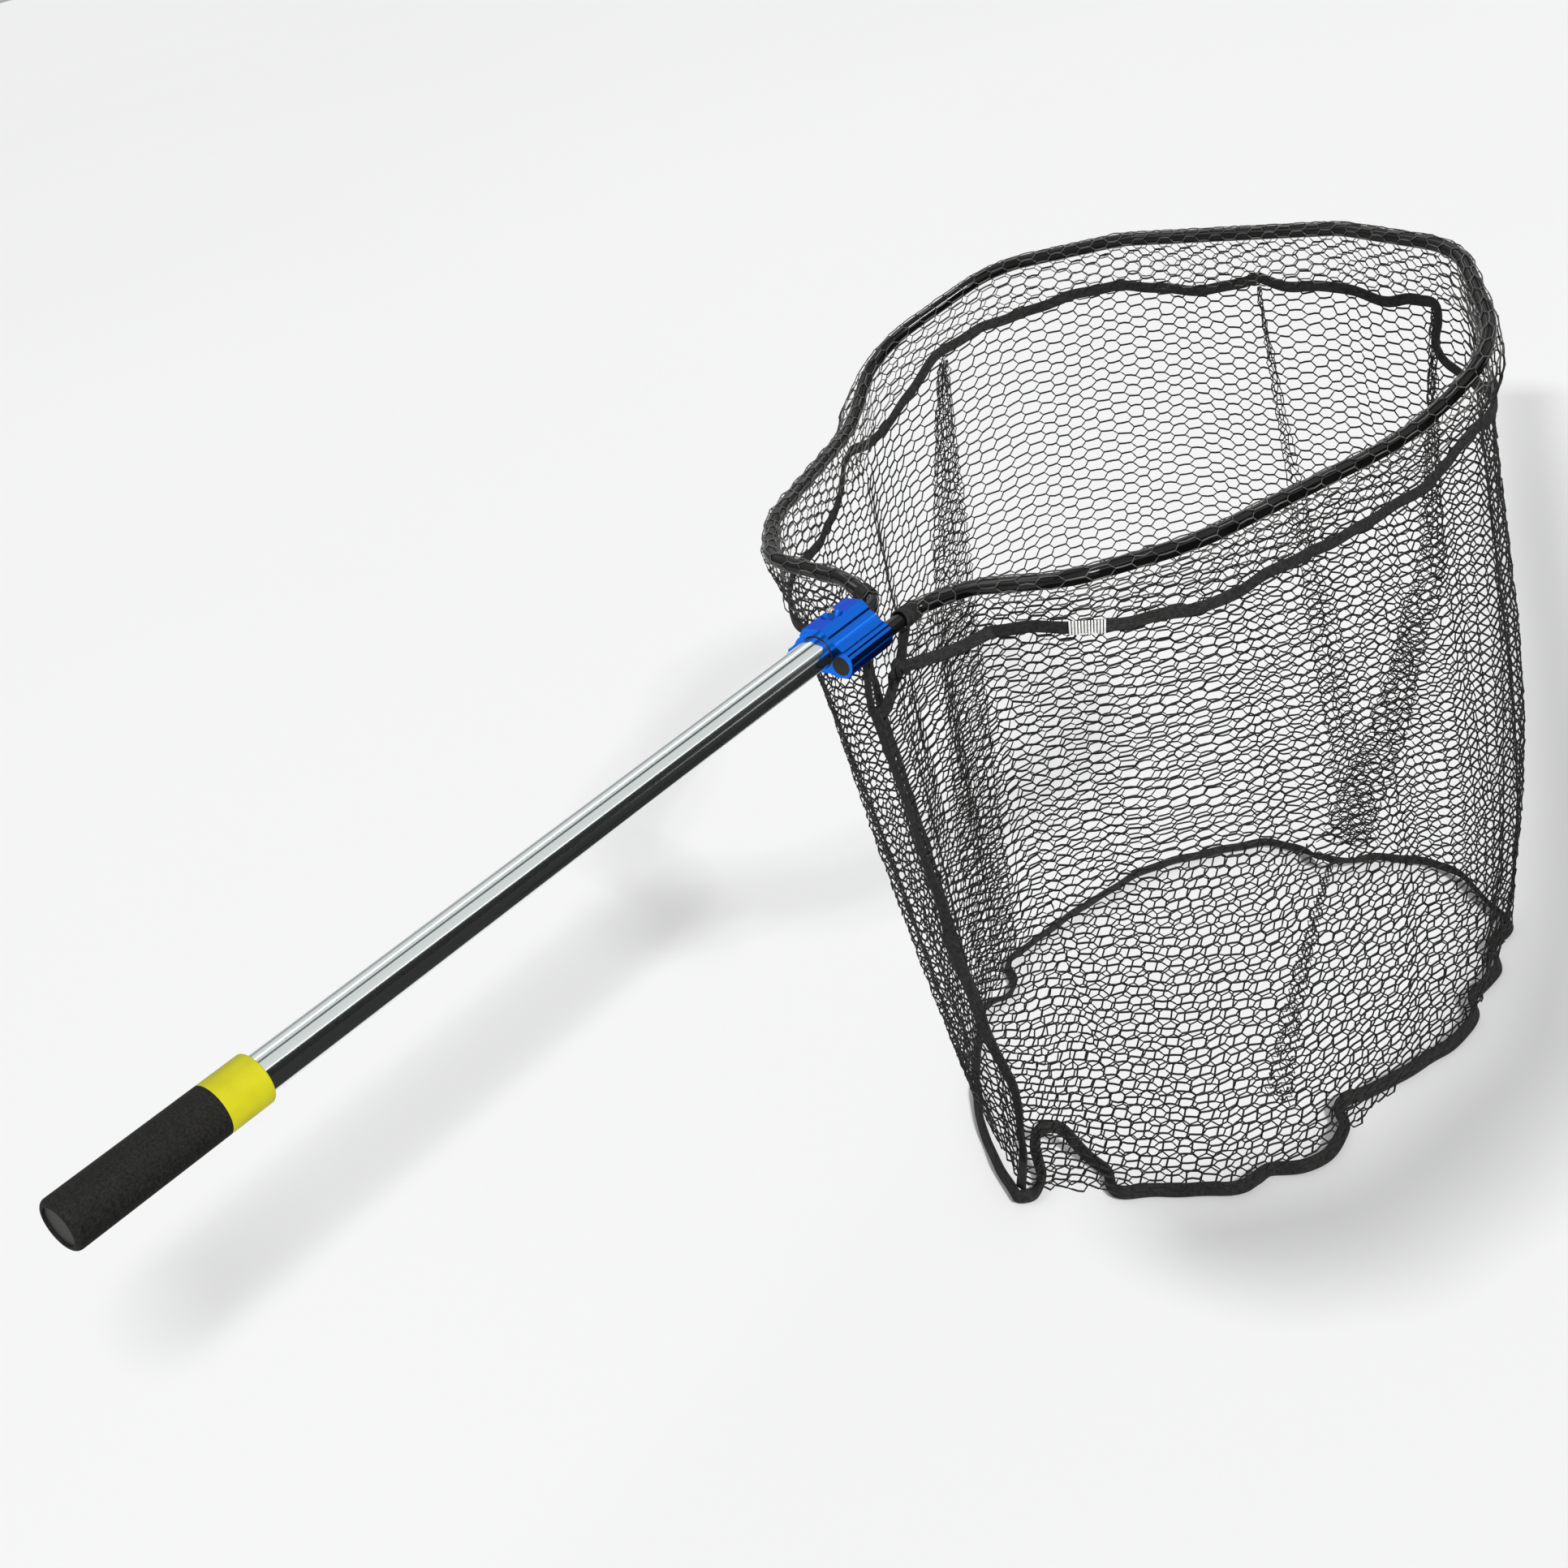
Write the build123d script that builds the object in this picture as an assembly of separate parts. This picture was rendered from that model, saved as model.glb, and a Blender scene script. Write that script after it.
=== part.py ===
from build123d import *
import math
import os

# A landing net with a sliding head: a round handle tube with a foam grip, a hub block that
# slides along the tube and locks on a snap button, a bent hoop tube and a deep net bag.
# Millimetres. Origin at the middle of the foam grip, on the tube's axis. +X runs along the
# handle towards the hoop, +Z is up out of the hoop's mouth, +Y is to the left.

# ---- Driving dimensions: handle ----
TUBE_R = 12.5                # outside radius of the handle tube
TUBE_WALL = 1.2
TUBE_BACK = -48.0            # butt end of the tube, inside the grip
TUBE_FRONT = 661.0           # front end of the tube, inside the hub
LINE_WIDTH = 0.7             # fine groove along the tube
LINE_DEPTH = 0.35
LINE_ANGLE = 20.0            # degrees from the top, towards the right
GRIP_R = 16.5
GRIP_LENGTH = 102.0
COLLAR_LENGTH = 31.0
PLUG_HEAD = 1.6
PLUG_STEM = 14.0
FIT = 0.05                   # radial clearance of parts that sit in one another

# ---- Driving dimensions: hub ----
HUB_BACK = 615.0             # face of the hub on the grip's side
HUB_LENGTH = 52.0
BUSH_R = 13.4                # outside radius of the guide bush
BUSH_CLEARANCE = 0.05        # running clearance on the tube
BARREL_Y = 19.0              # the two sockets for the hoop's ends
BARREL_Z = -9.4
PAD_TOP = 18.7               # height of the flat pad round the button
PAD_HALF = 8.0
EDGE_R = 0.6                 # rounding of the extruded edges
FLANK_R = 17.0               # radius of the two hollow flanks
CAP_R = 7.5                  # black caps in the sockets
CAP_THICK = 3.8
SCREW_R = 1.95
SCREW_HEAD_R = 2.6

# ---- Driving dimensions: button ----
BUTTON_X = 639.6
BUTTON_R = 3.1
BUTTON_TOP = 24.2
BUTTON_HOLE_R = 3.4
BUTTON_FLANGE_R = 4.2
BUTTON_FLANGE_Z = 9.0        # underside of the flange
SINK_R = 8.4                 # rim of the cone round the button
SINK_DEPTH = 4.2
SPRING_THICK = 0.8
SPRING_HALF = 4.0
SPRING_BACK = 598.0

# ---- Driving dimensions: hoop ----
HOOP_R = 6.0                 # outside radius of the hoop's tube
HOOP_WALL = 1.0
# Corners of the left half of the hoop, from its socket to the far side, and the bend radius
# at each. The right half mirrors them. The far part of the hoop rises.
HOOP_START = (620.0, BARREL_Y, BARREL_Z)
HOOP_CORNERS = [
    (716.0, BARREL_Y, BARREL_Z),
    (731.0, 60.0, 2.0),
    (741.0, 140.0, 9.0),
    (820.0, 200.0, 6.0),
    (1040.0, 272.0, 3.0),
    (1135.0, 308.0, 40.0),
    (1255.0, 232.0, 84.0),
    (1293.0, 110.0, 94.0),
]
HOOP_BENDS = [22.0, 50.0, 50.0, 200.0, 250.0, 110.0, 90.0, 70.0]
SLEEVE_START = (728.0, 51.8, -0.28)   # on the straight run after the hoop's first bend

# ---- Driving dimensions: net ----
SLEEVE_R = 7.2               # the netting folded round the hoop
NET_THICK = 2.4
NET_DROP = 12.0              # top edge of the walls below the hoop's centre line
BAND_DROP = 44.0             # top edge of the tape band below the hoop's centre line
BAND_WIDTH = 10.0
BAND_THICK = 1.6
BULGE = 18.0                 # how far the right side swells out, and how far down it is widest
BULGE_DROP = 370.0
GAP = 0.2                    # between soft pieces that lie side by side
LOOP_X = 696.0               # the strap loops on the hoop's arms
LOOP_HALF = 6.0
LOOP_R = 8.0
KNOT_AT = (674.5, -22.5, -40.0)
KNOT_R = 5.0
JOIN_LENGTH = 28.0           # the stitched join in the tape band
JOIN_THICK = 1.2
JOIN_CORNER = 2              # wall corner, counted from the front, that the join lies before
FRONT_POINT = (667.0, 0.0, -81.0)     # where the two front straps meet
BAG_FLOOR = -540.0
HEM_HEIGHT = 8.0             # tape round the bag's floor
HEM_HALF = 1.2
# Corners of the bag's floor, from the front corner round each side to the far side. The bag
# hangs a little to the right.
FLOOR_FRONT = (676.0, -32.0)
FLOOR_FAR = (1265.0, -40.0)
FLOOR_LEFT = [(765.0, 75.0), (895.0, 150.0), (1015.0, 165.0), (1155.0, 125.0), (1250.0, 40.0)]
FLOOR_RIGHT = [
    (710.0, -100.0), (735.0, -190.0), (820.0, -248.0), (1030.0, -288.0),
    (1185.0, -265.0), (1247.0, -190.0), (1265.0, -120.0),
]
# The left side folds along a line that leans to the front on its way down: its shares of the
# way from the front corner to the far side, at the top and at the floor
FOLD_TOP = 0.70
FOLD_FOOT = 0.52
# Corners of the walls, as fractions of the sleeve's length from either end
WALL_STOPS = [0.0, 0.035, 0.065, 0.105, 0.225, 0.255, 0.28, 0.31, 0.365, 0.395, 0.445]
# Wall panels by the first and last corner that each one spans
PANELS = {"front": (0, 1), "near_corner": (1, 3), "side": (3, 4), "shoulder": (4, 8),
          "far_corner": (8, 10)}

os.makedirs("parts", exist_ok=True)


def save(shape, name):
    export_step(shape, f"parts/{name}.step")


def rod(radius, start, end, y=0.0, z=0.0):
    """A cylinder along X."""
    return Pos(start, y, z) * Rot(0, 90, 0) * extrude(Circle(radius), end - start)


def mirrored(point):
    return (point[0], -point[1], point[2])


# ---- Handle ----
def handle_tube():
    tube = rod(TUBE_R, TUBE_BACK, TUBE_FRONT) - rod(TUBE_R - TUBE_WALL, TUBE_BACK, TUBE_FRONT)
    line_start = GRIP_LENGTH / 2 + COLLAR_LENGTH
    line = Pos((line_start + TUBE_FRONT) / 2, 0, TUBE_R) * Box(
        TUBE_FRONT - line_start, LINE_WIDTH, 2 * LINE_DEPTH
    )
    tube -= Rot(LINE_ANGLE, 0, 0) * line
    hole = Pos(BUTTON_X, 0, TUBE_R / 2) * extrude(Circle(BUTTON_HOLE_R), TUBE_R)
    return tube - hole


def foam_grip():
    grip = rod(GRIP_R, -GRIP_LENGTH / 2, GRIP_LENGTH / 2)
    rims = grip.edges().sort_by(Axis.X)
    grip = fillet(rims[0], 3.5)
    return grip - rod(TUBE_R, -GRIP_LENGTH / 2, GRIP_LENGTH / 2)


def grip_collar():
    start = GRIP_LENGTH / 2
    collar = rod(GRIP_R, start, start + COLLAR_LENGTH)
    collar = fillet(collar.edges().sort_by(Axis.X)[-1], 1.2)
    return collar - rod(TUBE_R, start, start + COLLAR_LENGTH)


def butt_plug():
    head = rod(TUBE_R - FIT, TUBE_BACK - PLUG_HEAD, TUBE_BACK)
    return head + rod(TUBE_R - TUBE_WALL - FIT, TUBE_BACK, TUBE_BACK + PLUG_STEM)


def tube_front_plug():
    return rod(TUBE_R - TUBE_WALL - FIT, TUBE_FRONT - 8.0, TUBE_FRONT)


# ---- Button and its spring ----
def lock_button():
    button = Pos(BUTTON_X, 0, BUTTON_FLANGE_Z) * extrude(Circle(BUTTON_FLANGE_R), 1.2)
    shank_top = BUTTON_TOP - BUTTON_R
    button += Pos(BUTTON_X, 0, BUTTON_FLANGE_Z) * extrude(
        Circle(BUTTON_R), shank_top - BUTTON_FLANGE_Z
    )
    return button + Pos(BUTTON_X, 0, shank_top) * Sphere(BUTTON_R)


def button_spring():
    """A strip bent into a V, lying on the tube's inside and pushing the button up."""
    floor = -math.sqrt((TUBE_R - TUBE_WALL) ** 2 - SPRING_HALF**2) + 0.1
    top = BUTTON_FLANGE_Z - 0.1
    front = BUTTON_X + BUTTON_FLANGE_R
    outline = Polyline(
        (SPRING_BACK, floor),
        (front, floor),
        (front, floor + SPRING_THICK),
        (SPRING_BACK + 4.0, floor + SPRING_THICK),
        (front, top - SPRING_THICK),
        (front, top),
        (front - 2 * BUTTON_FLANGE_R, top),
        (SPRING_BACK, floor + 2 * SPRING_THICK),
        close=True,
    )
    strip = extrude(make_face(outline), SPRING_HALF, both=True)
    return Rot(90, 0, 0) * strip


# ---- Hub ----
def hub_profile():
    """Left half of the extruded section, from the top down, then mirrored."""
    half = [
        (PAD_HALF, PAD_TOP),
        (13.0, 12.9),
        (13.2, 10.9),
        (14.9, 10.2),
        (27.4, -0.2),
        (27.5, -1.9),
        (29.6, -3.2),
        (29.7, -7.4),
        (28.7, -8.4),
        (29.3, -9.6),
        (28.2, -13.4),
        (25.0, -17.4),
        (20.8, -19.2),
        (13.0, -18.8),
        (7.0, -16.2),
    ]
    right = [(-y, z) for y, z in reversed(half)]
    return FilletPolyline(*half, *right, radius=EDGE_R, close=True)


def hub_block():
    section = make_face(hub_profile())
    along_x = Plane(origin=(HUB_BACK, 0, 0), x_dir=(0, 1, 0), z_dir=(1, 0, 0))
    block = extrude(along_x * section, HUB_LENGTH)
    block -= rod(BUSH_R, HUB_BACK, HUB_BACK + HUB_LENGTH)
    for side in (1, -1):
        # hollow flank between the pad's slope and the barrel
        flank_y = 21.2 + FLANK_R * 0.64
        flank_z = 3.6 + FLANK_R * 0.77
        block -= rod(FLANK_R, HUB_BACK, HUB_BACK + HUB_LENGTH, side * flank_y, flank_z)
        block -= rod(HOOP_R + FIT, HUB_BACK, HUB_BACK + HUB_LENGTH, side * BARREL_Y, BARREL_Z)
        block -= rod(CAP_R + FIT, HUB_BACK, HUB_BACK + CAP_THICK + FIT, side * BARREL_Y, BARREL_Z)
    for place in screw_places():
        block -= place * extrude(Circle(SCREW_R + FIT), 12.0)
        block -= place * extrude(Circle(SCREW_HEAD_R + FIT), 1.4)
    hole = Pos(BUTTON_X, 0, 0) * extrude(Circle(BUTTON_HOLE_R), PAD_TOP + 1)
    sink = Pos(BUTTON_X, 0, PAD_TOP - SINK_DEPTH / 2) * Cone(BUTTON_HOLE_R, SINK_R, SINK_DEPTH)
    return block - hole - sink


def guide_bush():
    end = HUB_BACK + HUB_LENGTH
    bush = rod(BUSH_R - 0.02, HUB_BACK, end) - rod(TUBE_R + BUSH_CLEARANCE, HUB_BACK, end)
    return bush - Pos(BUTTON_X, 0, 0) * extrude(Circle(BUTTON_HOLE_R), PAD_TOP)


def hoop_cap(side):
    disc = rod(CAP_R, HUB_BACK, HUB_BACK + CAP_THICK, side * BARREL_Y, BARREL_Z)
    stem_r = HOOP_R - HOOP_WALL - FIT
    start = HUB_BACK + CAP_THICK
    return disc + rod(stem_r, start, start + 9.0, side * BARREL_Y, BARREL_Z)


def screw_places():
    """Where the two screws enter the underside of the barrels, looking up."""
    return [
        Pos(HUB_BACK + 0.62 * HUB_LENGTH, side * BARREL_Y, -19.2)
        for side in (1, -1)
    ]


def hoop_screws():
    """One screw for each socket, its point just short of the hoop's tube."""
    reach = 19.2 + BARREL_Z - HOOP_R - FIT
    screws = []
    for place in screw_places():
        screw = place * Pos(0, 0, 0.2) * extrude(Circle(SCREW_HEAD_R), 1.2)
        screw += place * Pos(0, 0, 0.2) * extrude(Circle(SCREW_R), reach - 0.3)
        slot = place * Pos(0, 0, 0.4) * Box(2 * SCREW_HEAD_R, 0.6, 0.8)
        screws.append(screw - slot)
    return Compound(children=screws)


# ---- Hoop ----
def hoop_path(start, corners, bends):
    """The hoop's centre line from start, round the far side, to start's mirror image."""
    there = [start, *corners]
    back = [mirrored(point) for point in reversed(there)]
    return FilletPolyline(*there, *back, radius=[*bends, *reversed(bends)])


def pipe(path, outer, inner):
    """A hollow round section along a path."""
    mouth = Plane(origin=path @ 0, z_dir=path % 0)
    return sweep(mouth * (Circle(outer) - Circle(inner)), path)


def hem_cuffs():
    """A short cuff that closes the sleeve on each arm of the hoop."""
    cuffs = []
    for side in (1, -1):
        start = Vector(SLEEVE_START[0], side * SLEEVE_START[1], SLEEVE_START[2])
        corner = Vector(HOOP_CORNERS[0][0], side * HOOP_CORNERS[0][1], HOOP_CORNERS[0][2])
        along = (corner - start).normalized()
        mouth = Plane(origin=start + along * GAP, z_dir=along)
        cuffs.append(extrude(mouth * (Circle(SLEEVE_R) - Circle(HOOP_R + FIT)), 7.0))
    return Compound(children=cuffs)


# ---- Netting ----
def sew(corners, quads):
    """A closed solid from corner points and quads, each split into two flat triangles."""
    faces = []
    for a, b, c, d in quads:
        for triple in ((a, b, c), (a, c, d)):
            points = [corners[i] for i in triple]
            faces.append(Face(Wire.make_polygon(points, close=True)))
    return Solid(Shell(faces))


def strip(outer_rows, inner_rows, closed=False):
    """A thin wall between matching rows of points on its outside and inside, top row first."""
    count = len(outer_rows[0])
    tiers = len(outer_rows)
    corners = [Vector(p) for row in (*outer_rows, *inner_rows) for p in row]

    def outer(row, k):
        return row * count + k

    def inner(row, k):
        return (tiers + row) * count + k

    base = tiers - 1
    quads = []
    for k in range(count if closed else count - 1):
        j = (k + 1) % count
        for row in range(base):
            quads.append((outer(row, k), outer(row, j), outer(row + 1, j), outer(row + 1, k)))
            quads.append((inner(row, k), inner(row + 1, k), inner(row + 1, j), inner(row, j)))
        quads.append((outer(0, k), inner(0, k), inner(0, j), outer(0, j)))
        quads.append((outer(base, k), outer(base, j), inner(base, j), inner(base, k)))
    if not closed:
        end = count - 1
        for row in range(base):
            quads.append((outer(row, 0), outer(row + 1, 0), inner(row + 1, 0), inner(row, 0)))
            quads.append(
                (outer(row, end), inner(row, end), inner(row + 1, end), outer(row + 1, end))
            )
    return sew(corners, quads)


def wall_tops(path):
    """Corners under the hoop: the front point, the left side, then the right side."""
    length = path.length
    left = [path.position_at(f * length, position_mode=PositionMode.LENGTH) for f in WALL_STOPS]
    left = [Vector(p.X, p.Y, p.Z - NET_DROP) for p in left]
    right = [Vector(*mirrored(tuple(p))) for p in reversed(left)]
    return [Vector(FRONT_POINT), *left, *right]


def floor_corners(run, hoop_length):
    """Corners of the floor under each wall corner, spread along each side in proportion.

    run is the length of the walls' sloping top edge from the front point to the hoop.
    """
    sides = []
    for corners, foot in ((FLOOR_LEFT, FOLD_FOOT), (FLOOR_RIGHT, FOLD_TOP)):
        outline = Polyline(FLOOR_FRONT, *corners, FLOOR_FAR)
        points = []
        for stop in WALL_STOPS:
            share = (run + stop * hoop_length) / (run + hoop_length / 2)
            if share < FOLD_TOP:
                share = share / FOLD_TOP * foot
            else:
                share = 1 - (1 - share) / (1 - FOLD_TOP) * (1 - foot)
            spot = outline.position_at(share * outline.length, position_mode=PositionMode.LENGTH)
            points.append(Vector(spot.X, spot.Y, BAG_FLOOR))
        sides.append(points)
    return [Vector(*FLOOR_FRONT, BAG_FLOOR), *sides[0], *reversed(sides[1])]


def outward(ring):
    """Plan vectors that push each corner of a ring out by one millimetre of wall."""
    pushes = []
    for k, here in enumerate(ring):
        before = here - ring[k - 1]
        after = ring[(k + 1) % len(ring)] - here
        normals = [Vector(-edge.Y, edge.X, 0).normalized() for edge in (before, after)]
        total = normals[0] + normals[1]
        pushes.append(total * (1 / (1 + normals[0].dot(normals[1]))))
    return pushes


def shifted(points, pushes, distance):
    return [p + push * distance for p, push in zip(points, pushes)]


def raised(points, rise):
    return [Vector(p.X, p.Y, p.Z + rise) for p in points]


def wall_rows(offset, drops):
    """Rows of the wall's corners, offset outwards, at each drop below its top edge."""
    tops = shifted(rim, rim_out, offset)
    lows = shifted(raised(floor, HEM_HEIGHT + GAP), floor_out, offset)
    widest = max(-corner.Y for corner in rim)
    rows = []
    for drop in drops:
        row = []
        for top, low, push in zip(tops, lows, rim_out):
            share = 1.0 if drop is None else drop / (top.Z - low.Z)
            swell = BULGE * max(0.0, -top.Y / widest) if drop == BULGE_DROP else 0.0
            row.append(top + (low - top) * share + push * swell)
        rows.append([*row, row[0]])
    return rows


def wall(first, last, near, far, drops):
    """Wall panel between two corners, from near to far millimetres outside the ring."""
    pick = slice(first, last + 1)
    outer_rows = [row[pick] for row in wall_rows(far, drops)]
    inner_rows = [row[pick] for row in wall_rows(near, drops)]
    return strip(outer_rows, inner_rows)


def tape(start, end, width_along, width, thick_along, thick):
    """A flat straight tape between two points."""
    rows = []
    for deep in (1, -1):
        for across in (1, -1):
            push = width_along * (across * width / 2) + thick_along * (deep * thick / 2)
            rows.append([start + push, end + push])
    return strip(rows[:2], rows[2:])


# ---- Build every node ----
save(handle_tube(), "handle_tube")
save(foam_grip(), "foam_grip")
save(grip_collar(), "grip_collar")
save(butt_plug(), "butt_plug")
save(tube_front_plug(), "tube_front_plug")
save(button_spring(), "button_spring")
save(lock_button(), "lock_button")
save(hub_block(), "hub_block")
save(guide_bush(), "guide_bush")
save(hoop_cap(1), "hoop_cap_left")
save(hoop_cap(-1), "hoop_cap_right")
save(hoop_screws(), "hoop_screws")

hoop_line = hoop_path(HOOP_START, HOOP_CORNERS, HOOP_BENDS)
sleeve_line = hoop_path(SLEEVE_START, HOOP_CORNERS[1:], HOOP_BENDS[1:])
save(pipe(hoop_line, HOOP_R, HOOP_R - HOOP_WALL), "hoop_tube")
save(pipe(sleeve_line, SLEEVE_R, HOOP_R + FIT), "net_sleeve")
save(hem_cuffs(), "hem_cuffs")

rim = wall_tops(sleeve_line)
floor = floor_corners((rim[1] - rim[0]).length, sleeve_line.length)
rim_out = outward(rim)
floor_out = outward(floor)
half_net = NET_THICK / 2
last_corner = 2 * len(WALL_STOPS)
band_drops = (BAND_DROP - NET_DROP, BAND_DROP - NET_DROP + BAND_WIDTH)
wall_drops = (0.0, *band_drops, BULGE_DROP, None)

for name, (first, last) in PANELS.items():
    start = first + 1 if first else 0
    left = wall(start, last + 1, -half_net, half_net, wall_drops)
    right = wall(last_corner - last, last_corner + 1 - start, -half_net, half_net, wall_drops)
    save(left, f"net_{name}_left")
    save(right, f"net_{name}_right")
middle = len(WALL_STOPS)
save(wall(middle, middle + 1, -half_net, half_net, wall_drops), "net_far")

# tape band threaded round the walls under the hoop, on their outside
band_in = half_net + GAP
band_out = band_in + BAND_THICK
save(wall(1, last_corner, band_in, band_out, band_drops), "perimeter_band")

# floor panel inside its tape
hem_top = raised(floor, HEM_HEIGHT)
hem_sides = [
    [shifted(hem_top, floor_out, offset), shifted(floor, floor_out, offset)]
    for offset in (HEM_HALF, -HEM_HALF)
]
save(strip(*hem_sides, closed=True), "floor_band")
floor_edge = shifted(floor, floor_out, -HEM_HALF - GAP)
floor_face = Face(Wire.make_polygon(floor_edge, close=True))
save(extrude(floor_face, NET_THICK, dir=(0, 0, 1)), "net_floor")

# tape down the front corner, on the outside of the net
front = Vector(-1, 0, 0)
across = Vector(0, 1, 0)
corner_offset = front * (2.2 * half_net + BAND_THICK)
corner_top = rim[0] + corner_offset
corner_low = floor[0] + Vector(0, 0, HEM_HEIGHT) + corner_offset
save(tape(corner_top, corner_low, across, 12.0, front, BAND_THICK), "front_corner_band")

# two straps hold the front corner to the arms of the hoop, each on a loop round its arm
loops = []
for side, name in ((1, "strap_left"), (-1, "strap_right")):
    arm = Vector(LOOP_X, side * BARREL_Y, BARREL_Z - LOOP_R - BAND_THICK)
    foot = Vector(FRONT_POINT[0] - 2.5, side * 5.4, FRONT_POINT[2] + 5.0)
    run = (foot - arm).normalized()
    save(tape(arm, foot, across, 8.0, run.cross(across), BAND_THICK), name)
    ring_ends = (LOOP_X - LOOP_HALF, LOOP_X + LOOP_HALF, side * BARREL_Y, BARREL_Z)
    loops.append(rod(LOOP_R, *ring_ends) - rod(HOOP_R + FIT, *ring_ends))
save(Compound(children=loops), "strap_loops")
save(Pos(*KNOT_AT) * Sphere(KNOT_R), "strap_knot")

# stitched join in the tape band, on its outside near the front of the right side
join_rows = wall_rows(band_out + GAP + JOIN_THICK / 2, band_drops)
join_from = join_rows[0][last_corner - JOIN_CORNER]
join_to = join_rows[0][last_corner - JOIN_CORNER + 1]
join_down = (join_rows[1][last_corner - JOIN_CORNER] - join_from).normalized()
join_along = (join_to - join_from).normalized()
join_middle = (join_from + join_to) * 0.5 + join_down * (BAND_WIDTH / 2)
reach = join_along * (JOIN_LENGTH / 2)
save(
    tape(
        join_middle - reach, join_middle + reach, join_down, BAND_WIDTH,
        join_along.cross(join_down), JOIN_THICK,
    ),
    "band_join",
)
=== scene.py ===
import math

import bpy
import numpy as np
from mathutils import Matrix, Vector


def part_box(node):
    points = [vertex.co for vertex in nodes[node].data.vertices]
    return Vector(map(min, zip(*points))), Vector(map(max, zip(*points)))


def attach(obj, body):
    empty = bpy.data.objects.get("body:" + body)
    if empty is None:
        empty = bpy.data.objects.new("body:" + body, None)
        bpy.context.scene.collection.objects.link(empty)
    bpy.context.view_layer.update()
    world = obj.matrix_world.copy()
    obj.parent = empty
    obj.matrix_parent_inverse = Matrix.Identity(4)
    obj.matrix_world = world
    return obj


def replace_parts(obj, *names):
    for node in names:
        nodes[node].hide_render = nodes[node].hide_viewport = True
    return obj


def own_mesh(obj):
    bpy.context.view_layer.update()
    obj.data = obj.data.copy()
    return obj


# Looks of the landing net, in metres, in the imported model's frame: +X along the handle
# towards the hoop, +Z up, +Y left, origin at the middle of the foam grip.

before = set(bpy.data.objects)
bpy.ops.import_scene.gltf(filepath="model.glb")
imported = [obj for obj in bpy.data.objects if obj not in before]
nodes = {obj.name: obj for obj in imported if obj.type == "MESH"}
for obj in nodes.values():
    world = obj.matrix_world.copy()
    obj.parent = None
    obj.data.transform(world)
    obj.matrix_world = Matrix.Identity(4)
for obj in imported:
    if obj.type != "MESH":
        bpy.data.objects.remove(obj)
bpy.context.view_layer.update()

# ---- Hoop and bag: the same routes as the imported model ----
BARREL_Y = 0.019
BARREL_Z = -0.0094
SLEEVE_START = (0.728, 0.0518, -0.00028)
HOOP_CORNERS = [
    (0.731, 0.060, 0.002),
    (0.741, 0.140, 0.009),
    (0.820, 0.200, 0.006),
    (1.040, 0.272, 0.003),
    (1.135, 0.308, 0.040),
    (1.255, 0.232, 0.084),
    (1.293, 0.110, 0.094),
]
HOOP_BENDS = [0.050, 0.050, 0.200, 0.250, 0.110, 0.090, 0.070]
FRONT_POINT = (0.667, 0.0, -0.081)
FLOOR_FRONT = (0.676, -0.032)
FLOOR_FAR = (1.265, -0.040)
FLOOR_LEFT = [
    (0.765, 0.075), (0.895, 0.150), (1.015, 0.165), (1.155, 0.125), (1.250, 0.040),
]
FLOOR_RIGHT = [
    (0.695, -0.105), (0.735, -0.195), (0.820, -0.248), (1.030, -0.288),
    (1.185, -0.265), (1.247, -0.190), (1.265, -0.120),
]
# The tape round the floor doesn't lie smooth: it loops up at the front corner, and is
# bunched where the walls' folds reach the floor
TAPE_LEFT = [
    (0.665, -0.032), (0.700, 0.012), (0.765, 0.072), (0.885, 0.141), (0.920, 0.134),
    (0.940, 0.140), (0.968, 0.163), (1.023, 0.156), (1.096, 0.137), (1.157, 0.117),
    (1.210, 0.071), (1.242, 0.027), (1.248, 0.005), (1.243, -0.030),
]
TAPE_RIGHT = [
    (0.673, -0.043), (0.693, -0.040), (0.713, -0.024), (0.728, -0.022), (0.739, -0.034),
    (0.736, -0.048), (0.723, -0.085), (0.702, -0.108), (0.719, -0.143), (0.741, -0.195),
    (0.757, -0.207), (0.775, -0.213), (0.789, -0.237), (0.813, -0.248), (0.845, -0.246),
    (0.875, -0.231), (0.921, -0.259), (0.986, -0.284), (1.028, -0.287), (1.054, -0.276),
    (1.102, -0.280), (1.138, -0.263), (1.174, -0.265), (1.207, -0.230), (1.242, -0.192),
    (1.257, -0.150), (1.250, -0.100), (1.221, -0.067),
]
BAG_FLOOR = -0.540
WALL_FOOT = -0.532           # lower edge of the walls, on top of the floor's tape
CUFF_RIGHT = 0.7015          # where the netting's fold ends on the hoop's right arm
CUFF_LEFT = 0.026            # and on the left arm, along it before the sleeve's start
NET_DROP = 0.012             # top edge of the walls below the hoop's centre line
BAND_FROM = 0.032            # the band's usual upper edge, below the walls' top edge
BAND_WIDTH = 0.010
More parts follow.
